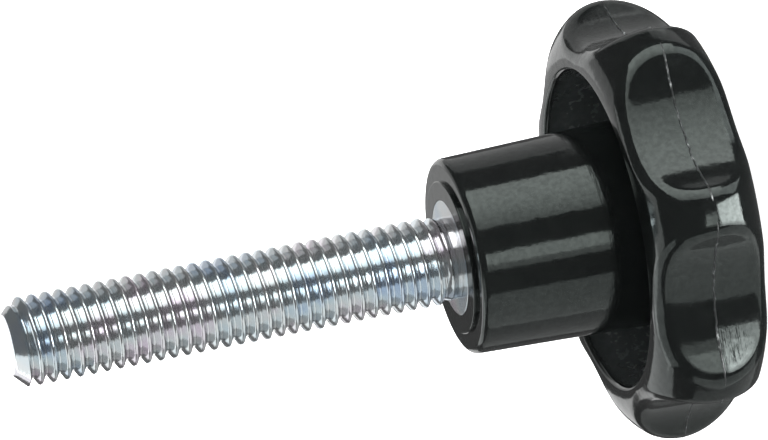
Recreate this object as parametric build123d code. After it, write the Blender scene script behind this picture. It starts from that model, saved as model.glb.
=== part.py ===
from build123d import *

import os
from math import asin, ceil, cos, pi, radians, sin, tan

# A star knob with a threaded stud, in millimetres.
# The origin is the centre of the hub's clamping face, and +Z runs along the stud to its tip.
# The knob is one plastic moulding, and the steel stud is moulded into it.

# Stud: an M10 thread, drawn as one ring-shaped groove for each pitch, above a plain shank
thread_diameter = 9.85
thread_pitch = 1.5
thread_depth = 0.87
thread_crest_width = 0.3
thread_flank_angle = 30.0
shank_length = 1.2
stud_length = 50.0
tip_diameter = 6.8
tip_chamfer_angle = 45.0

# Stud's anchor: a round collar, a waist and a six-sided foot inside the hub
collar_diameter = 12.8
collar_thickness = 3.0
waist_diameter = 8.0
waist_length = 3.0
foot_side_count = 6
foot_across_flats = 11.0
foot_length = 6.0

# Hub: its diameter is at the clamping end, and it widens towards the head
hub_height = 16.8
hub_diameter = 21.7
hub_draft_angle = 1.8
pad_diameter = 17.0
pad_step = 0.4
pad_edge_radius = 0.15
shoulder_radius = 0.8

# Head: a rim of round section with a flat lip, about a ring-shaped cavity that narrows towards its floor
head_diameter = 50.0
rim_height = 12.9
lip_width = 0.8
cavity_draft_angle = 2.0
cavity_edge_radius = 0.5
cavity_corner_radius = 1.5
floor_thickness = 3.4

# Lobes: what stays of the rim between hollows, which deepen from the parting plane to both faces.
# The hollows' floors stay outside the rim's flat lip by a setback.
lobe_count = 7
lobe_width = 4.6
hollow_setback = 2.2
hollow_draft_angle = 3.0
hollow_edge_radius = 2.0

# Heights along the axis
lip_z = -hub_height
rear_z = lip_z - rim_height
parting_z = (lip_z + rear_z) / 2
floor_z = rear_z + floor_thickness

# Radii of the head: to the lobes' crests, and to the edge of the flat lip
head_radius = head_diameter / 2
rim_radius = rim_height / 2
flank_radius = head_radius - rim_radius

# Directions about the axis, in degrees
front_angle = -90.0
half_turn = 180.0
full_turn = 360.0

# How far the grooves' cutting rings stand out of the stud
groove_overlap = 0.1

# Two heights closer than this are the same height
height_tolerance = 0.01


def draft(length, angle):
    """How far a wall moves sideways over a length at a draft angle."""
    return length * tan(radians(angle))


def make_grooves():
    """The rings that the thread's grooves take out of the stud, from the shank to past the tip."""
    crest_radius = thread_diameter / 2
    root_radius = crest_radius - thread_depth
    outer_radius = crest_radius + groove_overlap
    mouth_width = thread_pitch - thread_crest_width
    outer_half_width = mouth_width / 2 + draft(groove_overlap, thread_flank_angle)
    root_half_width = mouth_width / 2 - draft(thread_depth, thread_flank_angle)
    groove_count = ceil((stud_length - shank_length) / thread_pitch)
    with BuildPart() as grooves:
        with BuildSketch(Plane.YZ):
            for groove in range(groove_count):
                z = shank_length + mouth_width / 2 + groove * thread_pitch
                with BuildLine():
                    Polyline(
                        (outer_radius, z - outer_half_width),
                        (outer_radius, z + outer_half_width),
                        (root_radius, z + root_half_width),
                        (root_radius, z - root_half_width),
                        close=True,
                    )
                make_face()
        revolve(axis=Axis.Z)
    return grooves.part


def make_stud():
    """The steel stud: grooved cylinder, chamfered tip and anchor, all in one piece."""
    thread_radius = thread_diameter / 2
    tip_radius = tip_diameter / 2
    collar_radius = collar_diameter / 2
    waist_radius = waist_diameter / 2
    chamfer_height = (thread_radius - tip_radius) / tan(radians(tip_chamfer_angle))
    waist_z = -collar_thickness
    foot_z = waist_z - waist_length
    with BuildPart() as stud:
        with BuildSketch(Plane.YZ):
            with BuildLine():
                Polyline(
                    (0, foot_z),
                    (0, stud_length),
                    (tip_radius, stud_length),
                    (thread_radius, stud_length - chamfer_height),
                    (thread_radius, 0),
                    (collar_radius, 0),
                    (collar_radius, waist_z),
                    (waist_radius, waist_z),
                    (waist_radius, foot_z),
                    close=True,
                )
            make_face()
        revolve(axis=Axis.Z)
        with BuildSketch(Plane.XY.offset(foot_z - foot_length)):
            RegularPolygon(foot_across_flats / 2, side_count=foot_side_count, major_radius=False)
        extrude(amount=foot_length)
    return stud.part - make_grooves()


def round_corner(section, radius, z, corner_radius):
    """Rounds the corner of the turned section that lies at a radius and height."""
    corner = min(section.vertices(), key=lambda point: abs(point.X - radius) + abs(point.Y - z))
    fillet(corner, corner_radius)


def make_blank():
    """The knob before its hollows: hub, cavity and rim turned about the axis."""
    pad_radius = pad_diameter / 2
    shoulder_z = -pad_step
    hub_front_radius = hub_diameter / 2 + draft(pad_step, hub_draft_angle)
    hub_floor_radius = hub_diameter / 2 + draft(-floor_z, hub_draft_angle)
    cavity_lip_radius = flank_radius - lip_width
    cavity_floor_radius = cavity_lip_radius - draft(lip_z - floor_z, cavity_draft_angle)
    with BuildPart() as blank:
        with BuildSketch(Plane.YZ) as section:
            with BuildLine():
                Polyline(
                    (flank_radius, rear_z),
                    (0, rear_z),
                    (0, 0),
                    (pad_radius, 0),
                    (pad_radius, shoulder_z),
                    (hub_front_radius, shoulder_z),
                    (hub_floor_radius, floor_z),
                    (cavity_floor_radius, floor_z),
                    (cavity_lip_radius, lip_z),
                    (flank_radius, lip_z),
                )
                CenterArc((flank_radius, parting_z), rim_radius, -half_turn / 2, half_turn)
            make_face()
            round_corner(section, pad_radius, 0, pad_edge_radius)
            round_corner(section, hub_front_radius, shoulder_z, shoulder_radius)
            round_corner(section, hub_floor_radius, floor_z, cavity_corner_radius)
            round_corner(section, cavity_floor_radius, floor_z, cavity_corner_radius)
            round_corner(section, cavity_lip_radius, lip_z, cavity_edge_radius)
        revolve(axis=Axis.Z)
    return blank.part


def hollow_circle():
    """Radius and axis distance of the circle that cuts a hollow at the parting plane.

    It passes through the hollow's floor and the edges of the two lobes beside it.
    """
    floor_radius = flank_radius + hollow_setback
    edge_angle = pi / lobe_count - asin(lobe_width / 2 / head_radius)
    half_chord = head_radius * sin(edge_angle)
    sagitta = head_radius * cos(edge_angle) - floor_radius
    radius = (half_chord**2 + sagitta**2) / (2 * sagitta)
    return radius, floor_radius + radius


def make_half(blank, keep):
    """The part of the knob on one side of the parting plane, with its hollows cut and their edges rounded."""
    radius, axis_distance = hollow_circle()
    face_radius = radius + draft(rim_radius, hollow_draft_angle)
    first_angle = front_angle + half_turn / lobe_count
    with BuildPart() as hollows:
        with Locations((0, 0, parting_z)):
            with PolarLocations(axis_distance, lobe_count, first_angle, full_turn):
                if keep == Keep.TOP:
                    Cone(radius, face_radius, rim_radius, align=(Align.CENTER, Align.CENTER, Align.MIN))
                else:
                    Cone(face_radius, radius, rim_radius, align=(Align.CENTER, Align.CENTER, Align.MAX))
    half = split(blank, bisect_by=Plane.XY.offset(parting_z), keep=keep)
    lobed = half - hollows.part
    hollow_edges = [
        edge
        for edge in new_edges(half, hollows.part, combined=lobed)
        if abs(edge.center().Z - parting_z) > height_tolerance
    ]
    return lobed.fillet(hollow_edge_radius, hollow_edges)


def make_knob(stud):
    """The plastic moulding: two halves that meet on the parting plane, and a pocket that fits the stud's anchor."""
    blank = make_blank()
    knob = make_half(blank, Keep.TOP) + make_half(blank, Keep.BOTTOM)
    return knob - stud


def main():
    os.makedirs("parts", exist_ok=True)
    stud = make_stud()
    knob = make_knob(stud)
    export_step(knob, "parts/knob.step")
    export_step(stud, "parts/stud.step")


main()
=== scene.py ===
import bmesh
import bpy
from math import asin, cos, pi, radians, sin, tan

import numpy as np
from mathutils import Matrix, Vector


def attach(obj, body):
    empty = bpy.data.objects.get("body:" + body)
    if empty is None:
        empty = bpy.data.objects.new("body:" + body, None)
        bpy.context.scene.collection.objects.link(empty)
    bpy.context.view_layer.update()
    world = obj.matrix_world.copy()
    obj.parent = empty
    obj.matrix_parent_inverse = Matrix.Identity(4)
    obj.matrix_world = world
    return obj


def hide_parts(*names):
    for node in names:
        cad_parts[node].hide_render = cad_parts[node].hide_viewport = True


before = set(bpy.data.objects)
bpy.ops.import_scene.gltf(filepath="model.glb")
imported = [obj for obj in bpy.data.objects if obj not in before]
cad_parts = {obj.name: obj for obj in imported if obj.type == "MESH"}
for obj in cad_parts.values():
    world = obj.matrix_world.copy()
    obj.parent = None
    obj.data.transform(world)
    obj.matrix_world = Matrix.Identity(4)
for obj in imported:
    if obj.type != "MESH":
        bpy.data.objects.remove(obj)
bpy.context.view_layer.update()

# A star knob with a threaded stud. Sizes are in millimetres, and every mesh is made in metres.
# The knob stands on its head, with the stud's tip up, as the CAD model does.
mm = 0.001

# Stud: an M10 thread, its plain shank and its chamfered tip
thread_diameter = 9.85
thread_pitch = 1.5
thread_flank_angle = 30.0
thread_crest_radius = 0.25
thread_root_radius = 0.18
thread_first_crest = 1.447
thread_end = 2.3
thread_run_out = 1.4
thread_trace = 0.25
shank_diameter = 9.1
stud_length = 50.0
tip_diameter = 6.8
tip_edge_radius = 0.12

# Stud's anchor inside the hub: collar, waist and six-sided foot
collar_diameter = 12.8
collar_thickness = 3.0
collar_edge_radius = 0.12
waist_diameter = 8.0
waist_length = 3.0
foot_side_count = 6
foot_across_flats = 11.0
foot_length = 6.0

# Hub
hub_height = 16.8
hub_diameter = 21.7
hub_draft_angle = 1.8
pad_diameter = 17.0
pad_step = 0.4
pad_edge_radius = 0.15
shoulder_radius = 0.8

# Head: a rim of round section about a ring-shaped cavity.
# It is 0.02 mm narrower than the solid, so that it stays inside the facets of the CAD mesh.
head_diameter = 49.98
rim_height = 12.9
lip_width = 0.8
cavity_draft_angle = 2.0
cavity_edge_radius = 0.5
cavity_corner_radius = 1.5
floor_thickness = 3.4

# Lobes, which hollows leave standing in the rim
lobe_count = 7
lobe_width = 4.6
hollow_setback = 2.2
hollow_draft_angle = 3.0
hollow_edge_radius = 2.0
front_angle = -90.0

# Flash on the parting line: its section is in shares of half its width and of its height
flash_width = 0.3
flash_height = 0.1
flash_least_share = 0.5
flash_wander = 0.4
flash_seed = 11
flash_height_window = 4
flash_wander_window = 7
flash_section = ((-1.0, 0.0), (-0.25, 1.0), (0.3, 1.0), (1.0, 0.0))

# Meshes: how finely they are divided
lobe_columns = 80
rim_rows = 72
rim_search_steps = 40
corner_rows = 8
holding_gap = 0.06
thread_columns = 96
thread_spare_turns = 2
thread_arc_steps = 4
flash_columns = 170
weld_distance = 0.0001

# Angles between faces, in degrees, above which an edge is shaded sharp
knob_sharp_angle = 40.0
stud_sharp_angle = 50.0

# Heights and radii that follow
lip_z = -hub_height
rear_z = lip_z - rim_height
parting_z = (lip_z + rear_z) / 2
floor_z = rear_z + floor_thickness
rim_radius = rim_height / 2
flank_radius = head_diameter / 2 - rim_radius
lobe_angle = 360.0 / lobe_count
waist_z = -collar_thickness
foot_z = waist_z - waist_length
foot_end_z = foot_z - foot_length


def draft(length, angle):
    """How far a wall moves sideways over a length at a draft angle."""
    return length * tan(radians(angle))


# Meshes


def rounded(corners):
    """Points of a section through corners (radius, height, rounding).

    Beside each rounding is a holding point, which keeps the smooth shading off the flat beside it.
    """
    points = [Vector(corners[0][:2])]
    for before, corner, after in zip(corners, corners[1:], corners[2:]):
        here = Vector(corner[:2])
        back = (Vector(before[:2]) - here).normalized()
        ahead = (Vector(after[:2]) - here).normalized()
        half = back.angle(ahead) / 2
        reach = corner[2] / tan(half)
        points.append(here + back * (reach + holding_gap))
        for step in range(corner_rows + 1 if corner[2] else 1):
            share = step / corner_rows
            points.append(rounding_point(here, back, ahead, half, corner[2], share))
        points.append(here + ahead * (reach + holding_gap))
    points.append(Vector(corners[-1][:2]))
    return np.array([tuple(point) for point in points])


def rounding_point(here, back, ahead, half, radius, share):
    """The point at a share of the way round a corner's rounding."""
    middle = (back + ahead).normalized()
    across = (ahead - back).normalized()
    turn = (2 * share - 1) * (pi / 2 - half)
    centre = here + middle * radius / sin(half)
    return centre - middle * radius * cos(turn) + across * radius * sin(turn)


def around(count, start=0.0):
    """Evenly spaced azimuths in radians, from a start in degrees."""
    return radians(start) + np.arange(count) * 2 * pi / count


def placed(radius, azimuths, height):
    """Points from radii, azimuths and heights."""
    return np.stack([radius * np.cos(azimuths), radius * np.sin(azimuths), height], axis=-1)


def turned(section, azimuths):
    """A grid of points, rows by columns: a section of (radius, height) turned to each azimuth."""
    height = np.broadcast_to(section[:, 1, None], (len(section), len(azimuths)))
    return placed(section[:, 0, None], azimuths, height)


def ring_faces(rows, columns, first=0):
    """Faces of a grid of points whose columns close on themselves."""
    row = np.arange(rows - 1)[:, None] * columns + first
    column = np.arange(columns)[None, :]
    after = (column + 1) % columns
    above = row + columns
    faces = np.stack([row + column, row + after, above + after, above + column], axis=-1)
    return faces.reshape(-1, 4)


def make_piece(name, points, faces, material, sharp_angle=knob_sharp_angle):
    """A smooth-shaded closed piece from points in millimetres, riding on the knob's body."""
    mesh = bpy.data.meshes.new(name)
    mesh.from_pydata((np.asarray(points) * mm).tolist(), [], np.asarray(faces).tolist())
    work = bmesh.new()
    work.from_mesh(mesh)
    bmesh.ops.remove_doubles(work, verts=work.verts, dist=weld_distance * mm)
    bmesh.ops.recalc_face_normals(work, faces=work.faces)
    work.to_mesh(mesh)
    work.free()
    mesh.shade_smooth()
    mesh.set_sharp_from_angle(angle=radians(sharp_angle))
    mesh.materials.append(material)
    piece = bpy.data.objects.new(name, mesh)
    bpy.context.scene.collection.objects.link(piece)
    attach(piece, "root")
    return piece


# Knob


def hollow_circle():
    """Radius and axis distance of the circle that cuts a hollow at the parting plane."""
    head_radius = head_diameter / 2
    floor_radius = flank_radius + hollow_setback
    edge_angle = pi / lobe_count - asin(lobe_width / 2 / head_radius)
    half_chord = head_radius * sin(edge_angle)
    sagitta = head_radius * cos(edge_angle) - floor_radius
    radius = (half_chord**2 + sagitta**2) / (2 * sagitta)
    return radius, floor_radius + radius


def rim_reach(azimuth, tilt):
    """How far the rim's surface is from its centre circle, at each azimuth and tilt.

    The tilt is the angle above the parting plane.
    """
    radius, axis_distance = hollow_circle()
    turn = radians(lobe_angle)
    beside = (azimuth - radians(front_angle)) % turn - turn / 2
    slope = tan(radians(hollow_draft_angle))

    def outside(reach):
        """Above zero outside the moulding: a torus less a cone, with a rounded edge between."""
        across = flank_radius + reach * np.cos(tilt)
        height = reach * np.sin(tilt)
        to_axis_x = axis_distance - across * np.cos(beside)
        to_axis_y = -across * np.sin(beside)
        to_axis = np.hypot(to_axis_x, to_axis_y)
        cone_radius = radius + np.abs(height) * slope
        hollow = (cone_radius - to_axis) * cos(radians(hollow_draft_angle))
        blank = reach - rim_radius
        toward = (to_axis_x * np.cos(beside) + to_axis_y * np.sin(beside)) / to_axis
        turn_between = toward * np.cos(tilt) + slope * np.abs(np.sin(tilt))
        edge = hollow_edge_radius * (1 - np.clip(turn_between, -1, 1))
        rounded_edge = np.hypot(blank + edge, hollow + edge) - edge
        both_near = (blank > -edge) & (hollow > -edge)
        return np.where(both_near, rounded_edge, np.maximum(blank, hollow))

    inner = np.zeros(np.broadcast(azimuth, tilt).shape)
    outer = np.full_like(inner, rim_radius)
    for _ in range(rim_search_steps):
        middle = (inner + outer) / 2
        is_outside = outside(middle) > 0
        outer = np.where(is_outside, middle, outer)
        inner = np.where(is_outside, inner, middle)
    return outer


def rim_grid(azimuths):
    """The lobed rim, from the edge of the rear face round to the lip."""
    tilt = np.radians(np.linspace(-90, 90, rim_rows + 1))[:, None]
    azimuth = azimuths[None, :]
    reach = rim_reach(azimuth, tilt)
    across = flank_radius + reach * np.cos(tilt)
    return placed(across, azimuth, parting_z + reach * np.sin(tilt))


def front_section():
    """From the lip through the cavity, up the hub, over its pad and down the anchor's pocket."""
    hub_front_radius = hub_diameter / 2 + draft(pad_step, hub_draft_angle)
    hub_floor_radius = hub_diameter / 2 + draft(-floor_z, hub_draft_angle)
    cavity_lip_radius = flank_radius - lip_width
    cavity_floor_radius = cavity_lip_radius - draft(lip_z - floor_z, cavity_draft_angle)
    return rounded([
        (flank_radius, lip_z, 0),
        (cavity_lip_radius, lip_z, cavity_edge_radius),
        (cavity_floor_radius, floor_z, cavity_corner_radius),
        (hub_floor_radius, floor_z, cavity_corner_radius),
        (hub_front_radius, -pad_step, shoulder_radius),
        (pad_diameter / 2, -pad_step, 0),
        (pad_diameter / 2, 0, pad_edge_radius),
        (collar_diameter / 2, 0, 0),
        (collar_diameter / 2, waist_z, 0),
        (waist_diameter / 2, waist_z, 0),
        (waist_diameter / 2, foot_z, 0),
        (0, foot_z, 0),
    ])


def make_knob(material):
    """The moulding, with its sharp parting line in the hollows."""
    azimuths = around(lobe_count * lobe_columns, front_angle)
    rear = turned(np.array([(0, rear_z), (flank_radius - holding_gap, rear_z)]), azimuths)
    grid = np.concatenate([rear, rim_grid(azimuths), turned(front_section(), azimuths)])
    faces = ring_faces(len(grid), len(azimuths))
    piece = make_piece("knob_moulding", grid.reshape(-1, 3), faces, material)
    sharpen_parting(piece.data)
    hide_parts("knob")
    return piece


def sharpen_parting(mesh):
    """Marks the edges on the parting plane as sharp where a hollow's two drafted halves meet."""
    crest_radius = head_diameter / 2 - hollow_edge_radius / 2
    for edge in mesh.edges:
        ends = [mesh.vertices[index].co / mm for index in edge.vertices]
        on_plane = all(abs(end.z - parting_z) < holding_gap / 2 for end in ends)
        in_hollow = all(end.xy.length < crest_radius for end in ends)
        if on_plane and in_hollow:
            edge.use_edge_sharp = True


def smooth_chances(chance, count, window):
    """Random shares of one round the rim, each the mean of a window of them."""
    three_rounds = np.tile(chance.random(count), 3)
    return np.convolve(three_rounds, np.ones(window) / window, "same")[count:2 * count]


def make_flash(material):
    """A ragged bead of flash along the parting line, which dies out at the lobes' crests."""
    chance = np.random.default_rng(flash_seed)
    count = lobe_count * flash_columns
    azimuths = around(count, front_angle)
    reach = rim_reach(azimuths[None, :], np.zeros((1, 1)))[0]
    sunk = np.clip((rim_radius - reach) / hollow_setback, 0, 1)
    ragged = smooth_chances(chance, count, flash_height_window)
    wavy = smooth_chances(chance, count, flash_wander_window)
    height = flash_height * np.sqrt(sunk) * (flash_least_share + ragged)
    middle = parting_z + flash_wander * (wavy - 0.5) * sunk
    surface = flank_radius + reach - flash_height / 2
    rows = []
    for share, lift in flash_section:
        radius = surface + lift * (height + flash_height / 2) * (sunk > 0)
        rows.append(placed(radius, azimuths, middle + share * flash_width / 2))
    points = np.concatenate(rows + rows[:1])
    faces = ring_faces(len(rows) + 1, count)
    return make_piece("parting_flash", points, faces, material)


# Stud


def thread_section():
    """One pitch of the thread, from one crest's centre up to the next.

    Its points are (height above the crest, depth below it).
    """
    turned_through = 90.0 - thread_flank_angle
    crest_height = thread_crest_radius * sin(radians(turned_through))
    root_height = thread_root_radius * sin(radians(turned_through))
    flank_height = thread_pitch / 2 - crest_height - root_height
    rounding_radius = thread_crest_radius + thread_root_radius
    rounding_depth = rounding_radius * (1 - cos(radians(turned_through)))
    thread_depth = rounding_depth + flank_height / tan(radians(thread_flank_angle))
    rise = []
    arcs = np.radians(np.linspace(0, turned_through, thread_arc_steps + 1))
    for a in arcs:
        rise.append((thread_crest_radius * sin(a), thread_crest_radius * (1 - cos(a))))
    for a in arcs[::-1]:
        height = thread_pitch / 2 - thread_root_radius * sin(a)
        rise.append((height, thread_depth - thread_root_radius * (1 - cos(a))))
    fall = [(thread_pitch - height, depth) for height, depth in rise[-2:0:-1]]
    return np.array(rise + fall)


def thread_share(height):
    """How much of the thread's depth there is at a height: it dies out into the shank."""
    share = np.clip((height - thread_end + thread_run_out) / thread_run_out, 0, 1)
    eased = share * share * (3 - 2 * share)
    return np.maximum(eased, thread_trace * np.clip(height / thread_run_out, 0, 1))


def thread_points():
    """The thread as a helical sheet of points, cut off by the tip's chamfer."""
    section = thread_section()
    turns = int(stud_length / thread_pitch) + 2 * thread_spare_turns
    steps = np.arange(turns * thread_columns + 1) - thread_spare_turns * thread_columns
    azimuth = 2 * pi * steps / thread_columns
    climb = thread_pitch * azimuth / (2 * pi)
    height = thread_first_crest + climb[:, None] + section[None, :, 0]
    radius = thread_diameter / 2 - section[None, :, 1]
    radius = shank_diameter / 2 + (radius - shank_diameter / 2) * thread_share(height)
    height = np.clip(height, 0, stud_length)
    radius = np.minimum(radius, tip_diameter / 2 + stud_length - height)
    return placed(radius, np.broadcast_to(azimuth[:, None], height.shape), height)


def thread_faces(steps, section_count):
    """Faces between neighbouring steps.

    The last point of a section joins the first point of the section a turn further on.
    """
    index = np.arange(steps * section_count).reshape(steps, section_count)
    corners = [index[:-1, :-1], index[1:, :-1], index[1:, 1:], index[:-1, 1:]]
    inner = np.stack(corners, axis=-1).reshape(-1, 4)
    last, turned_on = index[:-thread_columns, -1], index[thread_columns:, 0]
    seam = np.stack([last[:-1], last[1:], turned_on[1:], turned_on[:-1]], axis=-1)
    return np.concatenate([inner, seam])


def anchor_grid(azimuths):
    """From the shank over the collar's face, down the collar and waist, and over the foot."""
    to_foot = rounded([
        (shank_diameter / 2, 0, 0),
        (collar_diameter / 2, 0, collar_edge_radius),
        (collar_diameter / 2, waist_z, 0),
        (waist_diameter / 2, waist_z, 0),
        (waist_diameter / 2, foot_z, 0),
        (waist_diameter / 2, foot_end_z, 0),
    ])[:-2]
    side = 2 * pi / foot_side_count
    foot = foot_across_flats / 2 / np.cos(azimuths % side - side / 2)
    grids = [turned(to_foot, azimuths)]
    for radius, z in ((foot, foot_z), (foot, foot_end_z), (0 * foot, foot_end_z)):
        grids.append(placed(radius, azimuths, np.full(len(azimuths), z))[None])
    return np.concatenate(grids)


def tip_grid(azimuths):
    """The tip's flat face, from its edge to its centre."""
    radii = (tip_diameter / 2, tip_diameter / 2 - tip_edge_radius, 0)
    return turned(np.array([(radius, stud_length) for radius in radii]), azimuths)


def make_stud(material):
    """The steel stud in one piece: thread, tip face and anchor."""
    azimuths = around(thread_columns)
    thread = thread_points()
    points = [thread.reshape(-1, 3)]
    faces = [thread_faces(*thread.shape[:2])]
    for grid in (tip_grid(azimuths), anchor_grid(azimuths)):
        first = sum(len(part) for part in points)
        faces.append(ring_faces(len(grid), thread_columns, first))
        points.append(grid.reshape(-1, 3))
    points, faces = np.concatenate(points), np.concatenate(faces)
    piece = make_piece("stud_screw", points, faces, material, stud_sharp_angle)
    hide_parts("stud")
    return piece


# Materials: noise scales are in repeats per millimetre, and bumps in millimetres

# How far inside its borders a finish, or the cavity wall's painted light, starts to fade, and where
# it ends
cavity_ring_fade = (0.9, 0.7)
cavity_depth_fade = (0.8, 0.3)
end_face_fade = (0.1, 0.01)


def new_material(name):
    """A material with its nodes and shader."""
    material = bpy.data.materials.new(name)
    material.use_nodes = True
    tree = material.node_tree
    return material, tree.nodes, tree.links, tree.nodes["Principled BSDF"]


def noise(nodes, links, scale, detail=3.0, roughness=0.5, drawn_out=1.0):
    """Noise over the object, drawn out across the knob's axis. Returns its value."""
    place = nodes.new("ShaderNodeTexCoord")
    shape = nodes.new("ShaderNodeMapping")
    across = scale / drawn_out / mm
    shape.inputs["Scale"].default_value = (across, across, scale / mm)
    texture = nodes.new("ShaderNodeTexNoise")
    texture.inputs["Scale"].default_value = 1.0
    texture.inputs["Detail"].default_value = detail
    texture.inputs["Roughness"].default_value = roughness
    links.new(place.outputs["Object"], shape.inputs["Vector"])
    links.new(shape.outputs["Vector"], texture.inputs["Vector"])
    return texture.outputs["Fac"]


def spread(nodes, links, value, low, high, from_low=0.3, from_high=0.7):
    """A value's range mapped to another."""
    node = nodes.new("ShaderNodeMapRange")
    node.inputs["From Min"].default_value = from_low
    node.inputs["From Max"].default_value = from_high
    node.inputs["To Min"].default_value = low
    node.inputs["To Max"].default_value = high
    links.new(value, node.inputs["Value"])
    return node.outputs["Result"]


def colours(nodes, links, value, stops):
    """A value looked up in a ramp of (place, colour) stops."""
    node = nodes.new("ShaderNodeValToRGB")
    ramp = node.color_ramp
    while len(ramp.elements) < len(stops):
        ramp.elements.new(1.0)
    for element, (place, colour) in zip(ramp.elements, stops):
        element.position = place
        element.color = (*colour, 1.0)
    links.new(value, node.inputs["Fac"])
    return node.outputs["Color"]


def bump(nodes, links, value, depth, below=None):
    """A bump of a depth, on top of another one."""
    node = nodes.new("ShaderNodeBump")
    node.inputs["Strength"].default_value = 1.0
    node.inputs["Distance"].default_value = depth * mm
    links.new(value, node.inputs["Height"])
    if below is not None:
        links.new(below, node.inputs["Normal"])
    return node.outputs["Normal"]


def calculate(nodes, links, operation, first, second=None):
    """A Math node's result. The second value is a number or a socket."""
    node = nodes.new("ShaderNodeMath")
    node.operation = operation
    links.new(first, node.inputs[0])
    if isinstance(second, float):
        node.inputs[1].default_value = second
    elif second is not None:
        links.new(second, node.inputs[1])
    return node.outputs["Value"]


def within(nodes, links, value, borders, fade):
    """One where a length is between two borders, and zero past a fade inside them."""
    low, high = borders
    half = (high - low) / 2
    start, end = fade
    offset = calculate(nodes, links, "SUBTRACT", value, (low + high) / 2 * mm)
    away = calculate(nodes, links, "ABSOLUTE", offset)
    fade_start, fade_end = (half - start) * mm, (half - end) * mm
    return spread(nodes, links, away, low=1.0, high=0.0, from_low=fade_start, from_high=fade_end)


def blend(nodes, links, kind, share, first, second):
    """A mix of two sockets by a share. The kind is Float or Color."""
    node = nodes.new("ShaderNodeMix")
    node.data_type = "RGBA" if kind == "Color" else "FLOAT"
    inputs = {socket.identifier: socket for socket in node.inputs}
    outputs = {socket.identifier: socket for socket in node.outputs}
    links.new(share, inputs["Factor_Float"])
    links.new(first, inputs["A_" + kind])
    links.new(second, inputs["B_" + kind])
    return outputs["Result_" + kind]


def object_axes(nodes, links):
    """The X, Y and Z sockets of a place on the object."""
    place = nodes.new("ShaderNodeTexCoord")
    parts = nodes.new("ShaderNodeSeparateXYZ")
    links.new(place.outputs["Object"], parts.inputs["Vector"])
    return parts.outputs


def cavity_wall(nodes, links):
    """One on the cavity's outer wall, and zero elsewhere."""
    axes = object_axes(nodes, links)
    squares = [calculate(nodes, links, "POWER", axes[axis], 2.0) for axis in "XY"]
    radius = calculate(nodes, links, "SQRT", calculate(nodes, links, "ADD", *squares))
    ring = (hub_diameter / 2, flank_radius)
    across = within(nodes, links, radius, ring, cavity_ring_fade)
    inside = within(nodes, links, axes["Z"], (floor_z, lip_z), cavity_depth_fade)
    return calculate(nodes, links, "MULTIPLY", across, inside)


def between_ends(nodes, links):
    """Zero on the tip's face and the collar's face, and one between them."""
    return within(nodes, links, object_axes(nodes, links)["Z"], (0, stud_length), end_face_fade)


def plastic_colour(nodes, links, in_cavity):
    """Near black, faintly mottled, and greyer on the cavity's wall, where painted light lifts the
    shade of the recess.
    """
    polished = colours(nodes, links, noise(nodes, links, scale=0.35), [
        (0.35, (0.0022, 0.0026, 0.0026)),
        (0.65, (0.0032, 0.0037, 0.0036)),
    ])
    # Painted light: a greyer colour on the cavity's wall lifts the shade in the recess.
    painted_cavity_light = colours(nodes, links, noise(nodes, links, scale=1.2, detail=4.0, roughness=0.6), [
        (0.35, (0.032, 0.036, 0.036)),
        (0.65, (0.044, 0.049, 0.049)),
    ])
    return blend(nodes, links, "Color", in_cavity, polished, painted_cavity_light)


def plastic_gloss(nodes, links, in_cavity):
    """The roughness: polished outside, and satin on the cavity's wall."""
    polished = spread(nodes, links, noise(nodes, links, scale=0.8, detail=4.0), low=0.07, high=0.12)
    satin = spread(nodes, links, noise(nodes, links, scale=1.2, detail=4.0), low=0.2, high=0.3)
    return blend(nodes, links, "Float", in_cavity, polished, satin)


def plastic_relief(nodes, links):
    """Orange peel, faint rings from turning the mould, and a fine grain."""
    peel = bump(nodes, links, noise(nodes, links, scale=0.6, detail=2.0), depth=0.02)
    turning = noise(nodes, links, scale=2.5, roughness=0.6, drawn_out=8.0)
    rings = bump(nodes, links, turning, depth=0.011, below=peel)
    return bump(nodes, links, noise(nodes, links, scale=3.0), depth=0.004, below=rings)


def plastic_material():
    """Black moulded plastic: glossy, and duller on the cavity's wall, which painted light also
    greys.
    """
    material, nodes, links, shader = new_material("black_plastic")
    in_cavity = cavity_wall(nodes, links)
    links.new(plastic_colour(nodes, links, in_cavity), shader.inputs["Base Color"])
    links.new(plastic_gloss(nodes, links, in_cavity), shader.inputs["Roughness"])
    mottle = noise(nodes, links, scale=1.8, detail=4.0, roughness=0.65)
    sheen = spread(nodes, links, mottle, low=0.42, high=0.58, from_low=0.38, from_high=0.62)
    links.new(sheen, shader.inputs["Specular IOR Level"])
    links.new(plastic_relief(nodes, links), shader.inputs["Normal"])
    shader.inputs["Specular Tint"].default_value = (0.9, 1.0, 0.96, 1)
    shader.inputs["IOR"].default_value = 1.5
    return material


def flash_material():
    """Torn flash of the same plastic: matt and greyer, with paler bits that are painted highlights.
    """
    material, nodes, links, shader = new_material("flash_with_painted_glints")
    # The palest stop paints highlights on the flash; the darker stops are its own greyer colour.
    tint = colours(nodes, links, noise(nodes, links, scale=0.9, detail=4.0, roughness=0.7), [
        (0.46, (0.005, 0.006, 0.006)),
        (0.58, (0.026, 0.029, 0.029)),
        (0.68, (0.25, 0.26, 0.26)),
    ])
    links.new(tint, shader.inputs["Base Color"])
    torn = spread(nodes, links, noise(nodes, links, scale=3.0), low=0.3, high=0.5)
    links.new(torn, shader.inputs["Roughness"])
    rough = bump(nodes, links, noise(nodes, links, scale=4.0), depth=0.02)
    links.new(rough, shader.inputs["Normal"])
    return material


def zinc_gloss(nodes, links):
    """The roughness: bright on the thread, and more matt on the flat ends."""
    matt = spread(nodes, links, noise(nodes, links, scale=5.0), low=0.16, high=0.26)
    bright = spread(nodes, links, noise(nodes, links, scale=2.5, detail=4.0), low=0.08, high=0.17)
    return blend(nodes, links, "Float", between_ends(nodes, links), matt, bright)


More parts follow.
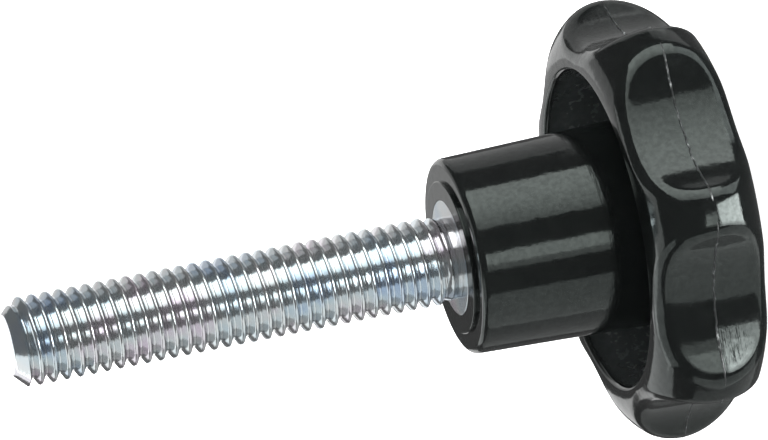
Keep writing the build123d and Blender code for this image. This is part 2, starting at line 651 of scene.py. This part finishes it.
def zinc_relief(nodes, links):
    """Marks of thread rolling, and the plating's grain."""
    rolling = noise(nodes, links, scale=3.0, roughness=0.6, drawn_out=10.0)
    rolled = bump(nodes, links, rolling, depth=0.03)
    return bump(nodes, links, noise(nodes, links, scale=4.0, detail=4.0), depth=0.006, below=rolled)


def zinc_material():
    """Bright zinc plate on steel, passivated, with pale blue and lilac tints."""
    material, nodes, links, shader = new_material("zinc_plate")
    tint = colours(nodes, links, noise(nodes, links, scale=0.16, detail=2.0), [
        (0.34, (0.55, 0.63, 0.73)),
        (0.46, (0.65, 0.71, 0.74)),
        (0.56, (0.70, 0.72, 0.73)),
        (0.68, (0.72, 0.67, 0.73)),
    ])
    links.new(tint, shader.inputs["Base Color"])
    links.new(zinc_gloss(nodes, links), shader.inputs["Roughness"])
    links.new(zinc_relief(nodes, links), shader.inputs["Normal"])
    shader.inputs["Metallic"].default_value = 0.98
    return material


# Studio: angles are in degrees, and azimuths and elevations are seen from the knob

# Camera
view_azimuth = -88.963
view_elevation = 13.612
view_roll = 101.03
view_distance = 709.0
view_aim = (5.405, 1.575, 6.1)
lens_length = 304.2
sensor_width = 36.0
nearest_shown = 10.0

# Floor that curves up into a wall
floor_radius = 600.0
bend_start = 1500.0
bend_radius = 500.0
wall_top = 2500.0
bend_step = 10
stage_columns = 96
paper_colour = (0.9, 0.9, 0.9, 1)
paper_glow = 1.0
surroundings = 0.13

# Lights that brighten from one side to the other. Each is a row of boxes with one far side:
# name, elevation, height, tint, distance, far side, and each box's near side and radiance.
graded_lights = (
    ("key", -6, 62, (0.97, 1.0, 0.98), 95, -17.0,
     ((-64.5, 1.4), (-59.5, 0.4), (-54.5, 0.35), (-49.5, 0.3), (-44.5, 0.3), (-39.5, 0.25))),
    ("key_low", -48.0, 22, (0.96, 1.0, 1.0), 105, -34.5,
     ((-59.5, 2.0),)),
    ("strip", -48, 37, (0.98, 1.0, 1.0), 110, -89.5,
     ((-117.0, 5.0), (-109.5, 3.0), (-102.5, 3.0))),
    ("glow", -17, 18, (0.97, 1.0, 0.98), 110, -92.5,
     ((-111.5, 1.0), (-105.0, 1.7))),
)

# Even lights: name, azimuth, elevation, width, height, radiance, tint and distance
even_lights = (
    ("table", -164.0, -17.5, 47, 85, 0.8, (0.97, 1.0, 0.99), 400),
    ("table_far", 152.0, -20.0, 41, 70, 0.32, (0.97, 1.0, 0.99), 400),
    ("table_top", -185.5, 59.0, 60, 26, 0.95, (0.97, 1.0, 1.0), 220),
    ("table_back", 118.0, 42.5, 36, 41, 1.0, (0.97, 1.0, 1.0), 800),
    ("backdrop", 75.0, 18.5, 32, 53, 0.5, (1, 1, 1), 150),
    ("backdrop_low", 69.0, 7.0, 22, 30, 0.45, (1, 1, 1), 150),
    ("backdrop_top", 96.0, 35.0, 12, 24, 1.2, (1.0, 0.98, 1.0), 150),
    ("backdrop_side", 111.0, 1.0, 17, 22, 1.0, (1, 1, 1), 150),
    ("wall", 40.5, -6.0, 42, 48, 0.4, (1, 1, 1), 800),
    ("wall_low", 11.5, -35.0, 16, 34, 0.5, (1, 1, 1), 150),
    ("side", 91.5, 68.0, 29, 36, 1.2, (1, 1, 1), 800),
)


def direction(azimuth, elevation):
    """The unit vector towards an azimuth and elevation."""
    a, e = radians(azimuth), radians(elevation)
    return Vector((cos(e) * cos(a), cos(e) * sin(a), sin(e)))


def make_camera():
    """The camera at the photograph's viewing angle, rolled so that the stud points left."""
    back = direction(view_azimuth, view_elevation)
    level_up = direction(view_azimuth, view_elevation + 90)
    level_right = level_up.cross(back)
    roll = radians(view_roll)
    up = level_up * cos(roll) + level_right * sin(roll)
    right = level_right * cos(roll) - level_up * sin(roll)
    data = bpy.data.cameras.new("camera")
    data.sensor_width = sensor_width
    data.lens = lens_length
    data.clip_start = nearest_shown * mm
    camera = bpy.data.objects.new("camera", data)
    camera.matrix_world = Matrix((right, up, back)).transposed().to_4x4()
    camera.location = (Vector(view_aim) + back * view_distance) * mm
    bpy.context.scene.collection.objects.link(camera)
    bpy.context.scene.camera = camera


def make_softbox(name, azimuth, elevation, width, height, radiance, tint, distance):
    """A soft area light that faces the knob, with its width and height as angles."""
    data = bpy.data.lights.new(name, "AREA")
    data.shape = "RECTANGLE"
    data.size = 2 * distance * tan(radians(width / 2)) * mm
    data.size_y = 2 * distance * tan(radians(height / 2)) * mm
    data.energy = pi * data.size * data.size_y * radiance
    data.color = tint
    light = bpy.data.objects.new(name, data)
    towards = direction(azimuth, elevation)
    light.location = towards * distance * mm
    light.rotation_euler = towards.to_track_quat("Z", "Y").to_euler()
    light.visible_camera = False
    bpy.context.scene.collection.objects.link(light)


def make_lights():
    """The graded lights on the camera's side, then the even ones all round."""
    for name, elevation, height, tint, distance, far_side, boxes in graded_lights:
        for near_side, radiance in boxes:
            azimuth = (near_side + far_side) / 2
            width = far_side - near_side
            make_softbox(name, azimuth, elevation, width, height, radiance, tint, distance)
    for light in even_lights:
        make_softbox(*light)


def stage_section():
    """The floor, its bend and the wall, as (radius, height)."""
    bend = []
    for angle in range(0, 90 + bend_step, bend_step):
        out = bend_start + bend_radius * sin(radians(angle))
        bend.append((out, rear_z + bend_radius * (1 - cos(radians(angle)))))
    wall_radius = bend_start + bend_radius
    return np.array([(0, rear_z), (floor_radius, rear_z)] + bend + [(wall_radius, wall_top)])


def make_stage():
    """A round white floor that curves up into a wall, far behind the knob on every side."""
    material, nodes, links, shader = new_material("white_paper")
    shader.inputs["Base Color"].default_value = paper_colour
    shader.inputs["Roughness"].default_value = 1.0
    shader.inputs["Emission Color"].default_value = (1, 1, 1, 1)
    shader.inputs["Emission Strength"].default_value = paper_glow
    grid = turned(stage_section(), around(stage_columns))
    faces = ring_faces(len(grid), stage_columns)
    mesh = bpy.data.meshes.new("paper_sweep")
    mesh.from_pydata((grid.reshape(-1, 3) * mm).tolist(), [], faces.tolist())
    mesh.shade_smooth()
    mesh.materials.append(material)
    sweep = bpy.data.objects.new("paper_sweep", mesh)
    sweep.visible_glossy = False
    sweep.visible_shadow = False
    bpy.context.scene.collection.objects.link(sweep)


def make_world():
    """Dim surroundings, so that the gloss has dark gaps between the lights."""
    world = bpy.data.worlds.new("studio")
    world.use_nodes = True
    background = world.node_tree.nodes["Background"]
    background.inputs["Color"].default_value = (1, 1, 1, 1)
    background.inputs["Strength"].default_value = surroundings
    bpy.context.scene.world = world
    bpy.context.scene.view_settings.view_transform = "Standard"


make_camera()
make_world()
make_stage()
make_lights()
make_knob(plastic_material())
make_flash(flash_material())
make_stud(zinc_material())
